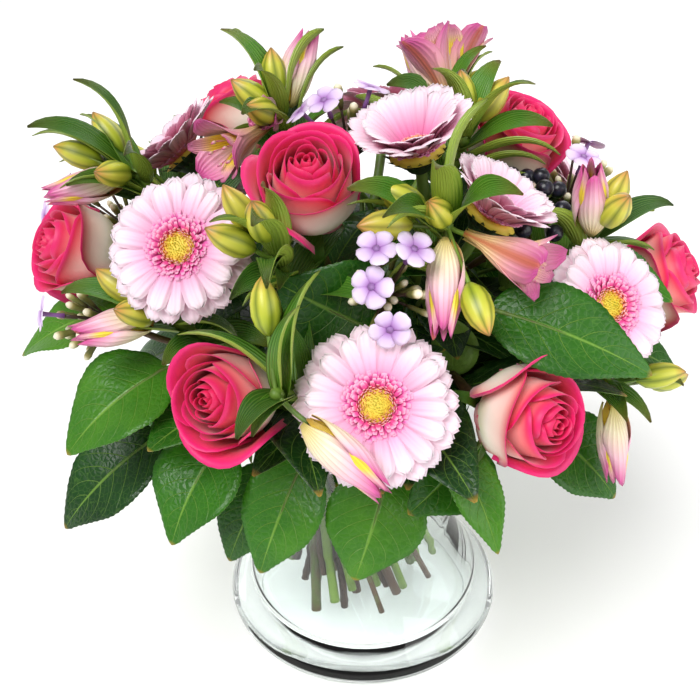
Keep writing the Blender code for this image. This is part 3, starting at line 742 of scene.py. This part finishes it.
def rosePetals(petals, matrix, rng):
    length, count = roseForm["length"], roseForm["petals"]
    for i in range(count):
        s = i / (count - 1)  # from the heart to the outermost
        radius = (roseForm["heart"] + (roseForm["radius"] / mm - roseForm["skin"]) * s ** 0.85) * mm
        closing = 0.62 * (1 - s) ** 0.8

        def profile(u):
            rise = 0.1 + 0.9 * sin(min(u / 0.6, 1) * pi / 2) ** 0.85
            over = max(u - 0.6, 0) / 0.4
            return rise * (1 - closing * over ** 1.4 + 0.1 * s * over)

        tall = length * (0.93 + 0.03 * sin(s * pi) - 0.13 * s ** 2.5) * rng.uniform(0.985, 1.015)
        curl = (0 if s < 0.25 else 3.6 * (s - 0.25) / 0.75) * mm * rng.uniform(0.8, 1.25)
        grid = wrapped(tall, radius, i * golden + rng.uniform(-0.1, 0.1), 2.2 - 0.95 * s ** 0.7, 0.05, profile,
                       lambda v: 1 - (0.32 + 0.16 * s) * abs(v) ** 4.5, rows=12, cols=14, curl=curl,
                       ripple=(0.3 + 0.9 * s) * mm, phase=rng.uniform(0, 6))
        addShell(petals, grid, 0.35 * mm, s, matrix)


def roseHead(name, number):
    edit = welded(name)
    line, head, _ = stemOf(edit, roseForm["stemRadius"])
    ringCentre, axis, _ = headOf(head)
    edit.free()
    base = ringCentre - axis * roseForm["length"]
    fronts.append((ringCentre, axis, roseForm["radius"] * 0.95, roseForm["length"]))
    rng = Random(100 + number)
    matrix = standing(base, axis, rng.uniform(0, 6))
    petals, green, stalk = newShape(), newShape(), newShape()
    rosePetals(petals, matrix, rng)
    addPiece(name + "Petals", petals, petalTissue, name)
    addTube(green, [(0, 0, z * mm) for z in (-5, -2, 1.5, 3)], [r * mm for r in (2.8, 4.8, 5.2, 3)], 12, 0.5,
            matrix=matrix)
    for k in range(roseForm["sepals"]):
        long = rng.uniform(*roseForm["sepalLength"]) * mm
        start = rng.uniform(-0.5, 0.25)
        droop = 1 if k % 2 else -0.5
        grid = blade(long, roseForm["sepalWidth"], lambda u: (1 - u) ** 0.75 + 0.04, 9, 4, cup=0.35,
                     bend=lambda u: start + 0.7 * sin(4.6 * u) - 1.6 * u * droop, twist=rng.uniform(-0.6, 0.6))
        place = matrix @ Matrix.Translation((0, 0, 1.5 * mm)) @ turnZ(k * 2 * pi / roseForm["sepals"])
        place = place @ Matrix.Translation((0, 4.4 * mm, 0))
        addShell(green, grid, 0.4 * mm, rng.uniform(0.1, 0.5), place)
    addPiece(name + "Sepals", green, strapTissue, name)
    addStem(stalk, line + [base - axis * 4 * mm], roseForm["stemRadius"], 0.4 + 0.16 * (number % 3), 0.12, number)
    addPiece(name + "Stem", stalk, stemTissue, name)


for number in range(1, 10):
    roseHead(f"rose_{number}", number)
print("roses made")


# small leaves on the stems of roses and gerberas fill the bouquet's middle
twigForm = {"leaves": 6, "length": (38, 60), "width": (20, 30), "from": 0.42, "to": 0.9, "rows": 14, "cols": 6,
            "tries": 10}
lowForm = {"leaves": 2, "length": (62, 82), "width": (36, 44), "height": 190, "tries": 8}


def ovateOutline(u):
    return max(sin(pi * min(u * 0.98 + 0.01, 1) ** 0.72), 0.02) ** 0.8 * (1 - 0.25 * u * u)


def ovateGrid(form, at, way, rng, twist, **shape):
    grid = blade(rng.uniform(*form["length"]) * mm, rng.uniform(*form["width"]) * mm, ovateOutline, twigForm["rows"],
                 twigForm["cols"], twist=rng.uniform(-twist, twist), phase=rng.uniform(0, 6), **shape)
    return laid(grid, at, way)


def addTwigLeaves(name, line, seed):
    rng = Random(seed)
    leaves = newShape()
    curve = smoothLine(line[1:], 6)
    for k in range(twigForm["leaves"]):
        share = twigForm["from"] + (twigForm["to"] - twigForm["from"]) * (k + rng.random()) / twigForm["leaves"]
        place = int(share * (len(curve) - 2))
        at = curve[place]
        ahead = (curve[place + 1] - at).normalized()
        beside = ahead.orthogonal().normalized()
        tries = []
        for attempt in range(twigForm["tries"]):
            turn = k * golden + seed + attempt * 0.62
            side = beside * cos(turn) + ahead.cross(beside) * sin(turn)
            out, along = side * rng.uniform(0.8, 1.1), ahead * rng.uniform(0.3, 0.7)
            way = (out + along + Vector((0, 0, rng.uniform(-0.1, 0.25)))).normalized()
            tries.append(ovateGrid(twigForm, at, way, rng, 0.5, bend=lambda u: 0.35 - 0.8 * u, cup=0.28, wave=0.05))
        addLeaf(leaves, tries, rng.uniform(0.45, 0.95))
    for k in range(lowForm["leaves"]):  # large dark ones just over the vase's mouth
        start = min(curve, key=lambda p: abs(p.z - (lowForm["height"] + 24 * k + 12 * rng.random()) * mm))
        out = Vector((start.x, start.y, 0)).normalized()
        tries = []
        for attempt in range(lowForm["tries"]):
            swing = Matrix.Rotation(rng.uniform(-0.7, 0.7), 3, "Z") @ out
            way = (swing + Vector((0, 0, rng.uniform(-0.05, 0.3)))).normalized()
            tries.append(ovateGrid(lowForm, start, way, rng, 0.3, bend=lambda u: 0.3 - 0.7 * u, cup=0.15, wave=0.04))
        addLeaf(leaves, tries, rng.uniform(0.75, 1.0))
    addPiece(name + "Leaves", leaves, salalTissue, name)


stemLines = []
for number in range(1, 10):
    for family, form in (("gerbera", gerberaForm), ("rose", roseForm)):
        name = f"{family}_{number}"
        edit = welded(name)
        line = stemOf(edit, form["stemRadius"])[0]
        edit.free()
        stemLines.append(smoothLine(line, 6))
        addTwigLeaves(name, line, number * 3 + len(family))
print("stem leaves made")

# the broad leaves' own woody twigs stand among the stems
woodForm = {"count": 15, "low": (26, 58), "high": 185, "radius": (1.5, 2.7),
            "gap": (8.5 * mm, 17 * mm), "spread": 26 * mm}


def atHeight(line, z):
    return min(line, key=lambda p: abs(p.z - z)).copy()


def gapAt(one, other, z):
    return (atHeight(one, z) - atHeight(other, z)).length


rng = Random(77)
wood = newShape()
pairs = []
for i, one in enumerate(stemLines):
    for j, other in enumerate(stemLines[:i]):
        gap = gapAt(one, other, 0.09)
        if woodForm["gap"][0] < gap < woodForm["gap"][1] and gapAt(one, other, 0.17) < woodForm["spread"]:
            pairs.append((gap, i, j))
for gap, i, j in sorted(pairs)[:woodForm["count"]]:
    low = rng.uniform(*woodForm["low"]) * mm
    points = []
    for k in range(9):
        z = low + (woodForm["high"] * mm - low) * k / 8
        between = (atHeight(stemLines[i], z) + atHeight(stemLines[j], z)) / 2
        points.append(Vector((between.x + rng.uniform(-1, 1) * mm, between.y + rng.uniform(-1, 1) * mm, z)))
    radius = min(rng.uniform(*woodForm["radius"]) * mm, gap / 2 - 2.6 * mm)
    addStem(wood, points, radius, rng.uniform(0.55, 0.9), 0.2, i)
addPiece("salalTwigs", wood, stemTissue, "leaf_1")
print("twigs made")


# alstroemerias
trussForm = {"stemRadius": 2.4 * mm, "pedicelRadius": 1.15 * mm, "budLength": 25 * mm, "budRadius": 6.3 * mm,
             "bloomLength": 45 * mm, "closedRadius": 8.5 * mm, "openFrom": 8 * mm, "closedFrom": 1.3 * mm,
             "leaves": 8, "leafLength": (38, 62), "leafWidth": (10, 16), "tries": 12,
             "tallLeaves": 3, "tallLength": (40, 60), "tallWidth": (11, 17), "tallFrom": 290 * mm, "tallTries": 10}
budProfile = {0: 0.2, 0.06: 0.45, 0.18: 0.82, 0.35: 1, 0.55: 0.98, 0.72: 0.8, 0.86: 0.5, 0.95: 0.22, 1.0: 0.06}
third = 2 * pi / 3


def lanceOutline(u):
    return sin(pi * min(u * 0.93 + 0.05, 1) ** 0.75) ** 0.8


def tepalOutline(u):
    if u < 0.78:
        return 0.16 + 0.84 * sin(min(max(u - 0.08, 0) / 0.62, 1) * pi / 2) ** 1.3
    return sqrt(max(1 - ((u - 0.78) / 0.235) ** 2, 0.03))


def bloomPlace(hub, tip, longest, share):  # its length, its base and its axis
    length = min(longest, (tip - hub).length * share)
    axis = (tip - hub).normalized()
    return length, tip - axis * length, axis


def addBud(shape, hub, tip, rng):
    length, base, axis = bloomPlace(hub, tip, trussForm["budLength"], 0.86)
    matrix = standing(base, axis, rng.uniform(0, 6))
    hook = rng.uniform(0.4, 1.4) * mm
    points = [(hook * max(z - 0.8, 0) * 5, 0, z * length) for z in budProfile]
    plump = trussForm["budRadius"] * (length / trussForm["budLength"]) ** 0.5
    addTube(shape, points, [r * plump for r in budProfile.values()], 24, rng.uniform(0, 1), 6, 0.05, matrix)
    return base


def addClosedBloom(shape, hub, tip, rng):
    length, base, axis = bloomPlace(hub, tip, trussForm["bloomLength"], 0.86)
    matrix = standing(base, axis, rng.uniform(0, 6))
    for layer in (1, 0):
        for k in range(3):
            radius = trussForm["closedRadius"] * (1 - 0.22 * layer)
            flare = rng.uniform(0.1, 0.5)

            def profile(u):
                belly = 0.22 + 0.78 * sin(pi * min(u * 0.8 + 0.08, 1)) ** 0.9
                return belly * (1 - 0.25 * max(u - 0.7, 0) / 0.3) + flare * max(u - 0.75, 0) * 2

            grid = wrapped(length * rng.uniform(0.93, 1.0), radius, k * third + layer * pi / 3, 1.15 - 0.25 * layer,
                           0.1, profile, lambda v: 1 - 0.34 * abs(v) ** 1.6, rows=12, cols=8, ripple=0.5 * mm,
                           phase=rng.uniform(0, 6))
            addShell(shape, grid, 0.35 * mm, 0.8 if layer else 0.1, matrix)
    return base


def addOpenBloom(shape, hub, tip, rng):
    length, base, axis = bloomPlace(hub, tip, trussForm["bloomLength"] * 0.85, 0.86)
    matrix = standing(base, axis, rng.uniform(0, 6))
    for layer, width, wave, tone in ((0, 18 * mm, 0.12, 0.1), (1, 9.5 * mm, 0.05, 0.9)):
        for k in range(3):
            reach = length * rng.uniform(1.02, 1.12)
            sweep = rng.uniform(0.5, 0.85)
            grid = blade(reach, width, tepalOutline, 12, 6, bend=lambda u: 0.15 - sweep * u ** 1.4,
                         cup=0.35 - 0.1 * layer, wave=wave, phase=rng.uniform(0, 6))
            place = matrix @ turnZ(k * third + layer * pi / 3) @ Matrix.Translation((0, (2.4 - layer) * mm, 0))
            addShell(shape, grid, 0.35 * mm, tone, place @ Matrix.Rotation(radians(80), 4, "X"))
    for k in range(5):  # stamens
        a = k * 2 * pi / 5
        lean = Vector((cos(a) * 3.2 * mm, sin(a) * 3.2 * mm, 0))
        ends = [lean * out + Vector((0, 0, z)) for out, z in ((0, 4 * mm), (0.5, length * 0.5), (1.8, length * 0.85))]
        points = smoothLine(ends, 4)
        addTube(shape, points, [0.35 * mm] * len(points), 5, 0.95, matrix=matrix)
        addTube(shape, [points[-1] + Vector((0, 0, z * mm)) for z in (0, 1.2, 3)], [0.5 * mm, 0.9 * mm, 0.3 * mm],
                6, 0.3, matrix=matrix)
    return base


def strapGrid(at, way, length, width, rng):
    grid = blade(rng.uniform(*length) * mm, rng.uniform(*width) * mm, lanceOutline, 14, 4,
                 bend=lambda u: 0.3 * sin(3 * u) - 0.9 * u * u, cup=0.45, twist=rng.uniform(-1.6, 1.6))
    return laid(grid, at, way)


def alstroemeriaTruss(name, number):
    line, hub, blooms = readTruss(name, trussForm["stemRadius"])
    rng = Random(200 + number)
    buds, tepals, stalk, leaves = newShape(), newShape(), newShape(), newShape()
    upright = (hub - line[-1]).normalized()
    for tip, wide in blooms:
        if wide > trussForm["openFrom"]:
            base = addOpenBloom(tepals, hub, tip, rng)
        elif wide > trussForm["closedFrom"]:
            base = addClosedBloom(tepals, hub, tip, rng)
        else:
            base = addBud(buds, hub, tip, rng)
        sag = hub.lerp(base, 0.5) - Vector((0, 0, 0.8 * mm))
        pedicel = smoothLine([hub, sag, base + (base - hub).normalized() * 1.5 * mm], 4)
        addTube(stalk, pedicel, [trussForm["pedicelRadius"]] * 9, 6, rng.uniform(0.05, 0.4))
    addStem(stalk, line + [hub], trussForm["stemRadius"], 0.12, seed=number)
    addTube(stalk, [hub + upright * z * mm for z in (-4, 0, 3)], [2.4 * mm, 3.2 * mm, 1.5 * mm], 8, 0.2)
    for k in range(trussForm["leaves"]):
        at = hub - upright * (2 + 5 * k) * mm
        tries = []
        for attempt in range(trussForm["tries"]):
            a = k * golden + number + attempt * 0.8
            way = Vector((cos(a), sin(a), 0)) * rng.uniform(0.6, 1.1) + upright * rng.uniform(0.25, 1.0)
            tries.append(strapGrid(at, way.normalized(), trussForm["leafLength"], trussForm["leafWidth"], rng))
        addLeaf(leaves, tries, rng.uniform(0.0, 0.9))
    for k in range(trussForm["tallLeaves"] if hub.z > trussForm["tallFrom"] else 0):  # these stand among the blooms
        a = k * 2.1 + number * 1.3
        way = (Vector((cos(a), sin(a), 0)) * rng.uniform(0.25, 0.7) + upright).normalized()
        tries = [strapGrid(hub, way, trussForm["tallLength"], trussForm["tallWidth"], rng)
                 for attempt in range(trussForm["tallTries"])]
        addLeaf(leaves, tries, rng.uniform(0.0, 0.6))
    addPiece(name + "Buds", buds, budTissue, name)
    addPiece(name + "Tepals", tepals, tepalTissue, name)
    addPiece(name + "Stalks", stalk, stemTissue, name)
    addPiece(name + "Leaves", leaves, strapTissue, name)


for number in range(1, 12):
    alstroemeriaTruss(f"alstroemeria_{number}", number)
print("alstroemerias made")


# phlox sprays and ivy berries
phloxForm = {"stemRadius": 1.7 * mm, "tubeLength": 12 * mm, "budRadius": 2.1 * mm, "floretFrom": 4 * mm,
             "extraBuds": 16}
clubProfile = {0: 0.45, 0.25: 0.75, 0.6: 0.85, 0.72: 1.05, 0.9: 0.9, 1: 0.3}


def lobeOutline(u):
    if u < 0.72:
        return 0.3 + 0.7 * sin(min(u * 1.5, 1) * pi / 2)
    return sqrt(max(1 - ((u - 0.72) / 0.3) ** 2, 0.05))


lobeForm = pieceSource("phloxLobe", blade(8.2 * mm, 8.0 * mm, lobeOutline, 6, 4, bend=-0.35, cup=-0.12), 0.35 * mm)


def addStalklet(shape, hub, base, axis, radius, sides, tone, steps=2):
    line = smoothLine([hub, hub.lerp(base, 0.5), base + axis * mm], steps)
    addTube(shape, line, [radius] * len(line), sides, tone)


def addClub(shape, hub, tip, stalk, radius, rng):
    length, base, axis = bloomPlace(hub, tip, phloxForm["tubeLength"], 0.8)
    addTube(shape, [base + axis * length * z for z in clubProfile], [radius * r for r in clubProfile.values()], 8,
            rng.uniform(0, 1))
    addStalklet(stalk, hub, base, axis, 0.7 * mm, 5, 0.75)


def phloxSpray(name, number):
    line, hub, blooms = readTruss(name, phloxForm["stemRadius"])
    rng = Random(300 + number)
    florets, clubs, stalk = newShape(), newShape(), newShape()
    upright = (middle([tip for tip, _ in blooms]) - hub).normalized()
    for tip, wide in blooms:
        if wide < phloxForm["floretFrom"]:
            addClub(clubs, hub, tip, stalk, phloxForm["budRadius"], rng)
            continue
        axis = (tip - hub).normalized()
        base = tip - axis * phloxForm["tubeLength"]
        addStalklet(stalk, hub, base, axis, 0.8 * mm, 5, 0.75)
        lobes = piecesAround(lobeForm, lobeTissue, number, 5, wobble=0.12, toneSpread=0.08,
                             radius=0.8 * mm, lift=0.25, tone=0.0)
        addShape(florets, lobes, standing(tip - axis * 1.5 * mm, axis, rng.uniform(0, 6)))
        tube = [base, base + axis * 4 * mm, tip - axis * 2.5 * mm, tip - axis * 1.2 * mm]
        addTube(florets, tube, [1.3 * mm, 1.0 * mm, 1.2 * mm, 1.6 * mm], 8, 0.9)
    for k in range(phloxForm["extraBuds"]):
        a, lean = k * golden, radians(rng.uniform(15, 70))
        way = upright.to_track_quat("Z", "Y") @ Vector((sin(lean) * cos(a), sin(lean) * sin(a), cos(lean)))
        tip = hub + way * rng.uniform(16, 25) * mm
        addClub(clubs, hub, tip, stalk, phloxForm["budRadius"] * rng.uniform(0.7, 0.95), rng)
    addStem(stalk, line + [hub], phloxForm["stemRadius"], 0.5, seed=number)
    addPiece(name + "Florets", florets, lobeTissue, name)
    addPiece(name + "Buds", clubs, clubTissue, name)
    addPiece(name + "Stalks", stalk, stemTissue, name)


for number in range(1, 6):
    phloxSpray(f"phlox_{number}", number)

berryForm = {"radius": 4.1 * mm, "unripe": 4, "unripeSize": 0.8}
berryProfile = {0: 0.3, 0.12: 0.68, 0.3: 0.93, 0.5: 1.0, 0.68: 0.95, 0.8: 0.8, 0.86: 0.62, 0.9: 0.56, 0.91: 0.4,
                0.97: 0.3, 1.0: 0.12}
line, hub, blooms = readTruss("ivy_berries", phloxForm["stemRadius"])
berries, stalk = newShape(), newShape()
for i, (tip, _) in enumerate(blooms):
    axis = (tip - hub).normalized()
    size = 2 * berryForm["radius"]
    base = tip - axis * size
    unripe = i == berryForm["unripe"]
    width = berryForm["unripeSize"] if unripe else 1
    addTube(berries, [base + axis * size * z for z in berryProfile],
            [berryForm["radius"] * r * width for r in berryProfile.values()], 16, 1.0 if unripe else 0.0)
    addStalklet(stalk, hub, base, axis, 0.75 * mm, 6, 0.35, 3)
addStem(stalk, line + [hub], phloxForm["stemRadius"], 0.5, seed=5)
addPiece("ivyBerries", berries, berryTissue, "ivy_berries")
addPiece("ivyStalks", stalk, stemTissue, "ivy_berries")
print("phlox and ivy made,", len(blooms), "berries")


# broad leaves: rings of four points, first the stalk's, then the blade's
leafForm = {"stalkRadius": 1.3 * mm, "stalkRings": 7, "rows": 44, "cols": 12, "thick": 0.5 * mm, "fold": 0.12,
            "tooth": 0.45 * mm, "veins": 7.5, "quilt": 0.35 * mm, "lift": 0.2 * mm,
            "tones": (0.25, 0.8, 0.35, 0.15, 0.55, 0.5, 0.3, 0.2, 0.6, 0.4, 0.45, 0.3, 0.5, 0.4, 0.35, 0.5)}


def leafRings(edit):
    ring = footRing(edit, leafForm["stalkRadius"] * 2.4)
    seen, rings = set(ring), []
    while ring:
        rings.append([v.co.copy() for v in ring])
        ring = beyond(ring, seen)
        seen |= ring
    return rings


def salalOutline(s):  # ovate, widest below the middle, drawn out to a point
    return max(sin(pi * min(s, 1) ** 0.72), 0) ** 0.78 * (1 - 0.3 * max(s - 0.6, 0) / 0.4)


def bladeLines(rings):  # the leaf's middle line, the way across it there, and its half width
    centres, acrosses, width, lift = [], [], 0, Vector()
    for ring in rings:
        pairs = sorted(((a - b).length, i, j) for i, a in enumerate(ring) for j, b in enumerate(ring) if i < j)
        _, i, j = pairs[-1]
        a, b = ring[i], ring[j]
        centre = middle([p for k, p in enumerate(ring) if k not in (i, j)])
        across = (b - a).normalized()
        if acrosses and across.dot(acrosses[-1]) < 0:
            across = -across
        centres.append(centre)
        acrosses.append(across)
        width = max(width, (b - a).length / 2)
        lift += middle([a, b]) - centre
    if acrosses[0].cross((centres[-1] - centres[0]).normalized()).dot(lift) < 0:
        acrosses = [-a for a in acrosses]
    return centres, acrosses, width


def bladeGrid(spine, sides, width, rng):
    rows, cols = leafForm["rows"], leafForm["cols"]
    grid = np.zeros((rows + 1, cols + 1, 3))
    phase, lumps = rng.uniform(0, 6), rng.uniform(0.03, 0.07)
    for i in range(rows + 1):
        s = i / rows
        at = s * (len(spine) - 1)
        k = min(int(at), len(spine) - 2)
        centre = spine[k].lerp(spine[k + 1], at - k)
        across = sides[k].lerp(sides[k + 1], at - k).normalized()
        ahead = (spine[min(k + 2, len(spine) - 1)] - spine[max(k - 1, 0)]).normalized()
        up = across.cross(ahead).normalized()
        half = width * 1.04 * salalOutline(s) + 0.15 * mm
        for j in range(cols + 1):
            v = 2 * j / cols - 1
            out = v * half
            if j in (0, cols) and i % 2 and 2 < i < rows - 1:
                out += leafForm["tooth"] * v
            wave = sin(leafForm["veins"] * 2 * pi * (s - 0.3 * abs(v) ** 1.35))
            ripple = wave * leafForm["quilt"] * min(4 * abs(v), 1) * (1 - s)
            height = half * (leafForm["fold"] * abs(v) + lumps * v * v * sin(9 * s + phase + (2 if v > 0 else 0)))
            grid[i, j] = centre + across * out + up * (height + ripple + leafForm["lift"])
    return grid


def broadLeaf(name, number):
    edit = welded(name)
    rings = leafRings(edit)
    edit.free()
    rng = Random(400 + number)
    stalkLine = [middle(ring) for ring in rings[:leafForm["stalkRings"]]]
    centres, acrosses, width = bladeLines(rings[leafForm["stalkRings"]:])
    centres = [stalkLine[-1]] + centres
    grid = bladeGrid(smoothLine(centres, 6), smoothLine(acrosses[:1] + acrosses, 6), width, rng)
    shape, stalk = newShape(), newShape()
    tone = leafForm["tones"][(number - 1) % len(leafForm["tones"])]
    addShell(shape, grid, leafForm["thick"], tone + rng.uniform(-0.05, 0.05))
    addPiece(name + "Blade", shape, salalTissue, name)
    line = smoothLine(stalkLine + [centres[1], centres[3], centres[5]], 5)
    shares = [i / len(line) for i in range(len(line))]
    addTube(stalk, [p - Vector((0, 0, leafForm["lift"])) for p in line],
            [leafForm["stalkRadius"] * (0.95 - 0.75 * max(share - 0.66, 0) / 0.34) for share in shares], 6, 0.3)
    addPiece(name + "Stalk", stalk, stemTissue, name)


for number in range(1, 25):
    broadLeaf(f"leaf_{number}", number)
print("leaves made")


# vase: the frame's own wall, drawn again with a smooth turn
vaseForm = {"sides": 96, "steps": 4, "sharp": 0.5}
edit = welded("vase")
wall = {v for v in edit.verts if abs(atan2(v.co.y, v.co.x)) < 0.02 and v.co.x > mm}
ends = [v for v in wall if sum(e.other_vert(v) in wall for e in v.link_edges) == 1]
chain = [max(ends, key=lambda v: v.co.z)]
left = wall - {chain[0]}
while left:
    near = [v for v in left if any(e.other_vert(v) is chain[-1] for e in v.link_edges)]
    if not near:
        break
    chain.append(min(near, key=lambda v: (v.co - chain[-1].co).length))
    left.discard(chain[-1])
profile = [Vector((hypot(v.co.x, v.co.y), v.co.z)) for v in chain]
profile = [Vector((0, profile[0].y))] + profile + [Vector((0, profile[-1].y))]
edit.free()
fine = [(max(p.x, 0.0), p.y) for p in smoothLine(profile, vaseForm["steps"], vaseForm["sharp"])]
sides = vaseForm["sides"]
verts, faces = [(0, 0, fine[0][1])], []
for r, z in fine[1:-1]:
    verts += [(r * cos(2 * pi * k / sides), r * sin(2 * pi * k / sides), z) for k in range(sides)]
verts.append((0, 0, fine[-1][1]))
last = 1 + (len(fine) - 3) * sides
for k in range(sides):
    n = (k + 1) % sides
    faces.append((0, 1 + k, 1 + n))
    for a in range(1, last, sides):
        faces.append((a + k, a + sides + k, a + sides + n, a + n))
    faces.append((last + k, len(verts) - 1, last + n))
vaseShape = newShape()
addPart(vaseShape, verts, faces, [(0, 0, 0)] * len(verts), 0)
vaseObject = addPiece("vaseGlass", vaseShape, clearGlass, "vase")
vaseObject.visible_shadow = False  # clear glass lets the light through to the stems and the table
print("vase made")

for source in [o for o in bpy.data.objects if not o.users_collection]:
    bpy.data.objects.remove(source)


# floor
floorForm = {"reach": 4, "under": 0.4 * mm}
corners = [(x * floorForm["reach"], y * floorForm["reach"], -floorForm["under"])
           for x, y in ((-1, -1), (1, -1), (1, 1), (-1, 1))]
floorMesh = bpy.data.meshes.new("floor")
floorMesh.from_pydata(corners, [], [(0, 1, 2, 3)])
floorMesh.materials.append(studioPaper)
floor = bpy.data.objects.new("floor", floorMesh)
scene.collection.objects.link(floor)
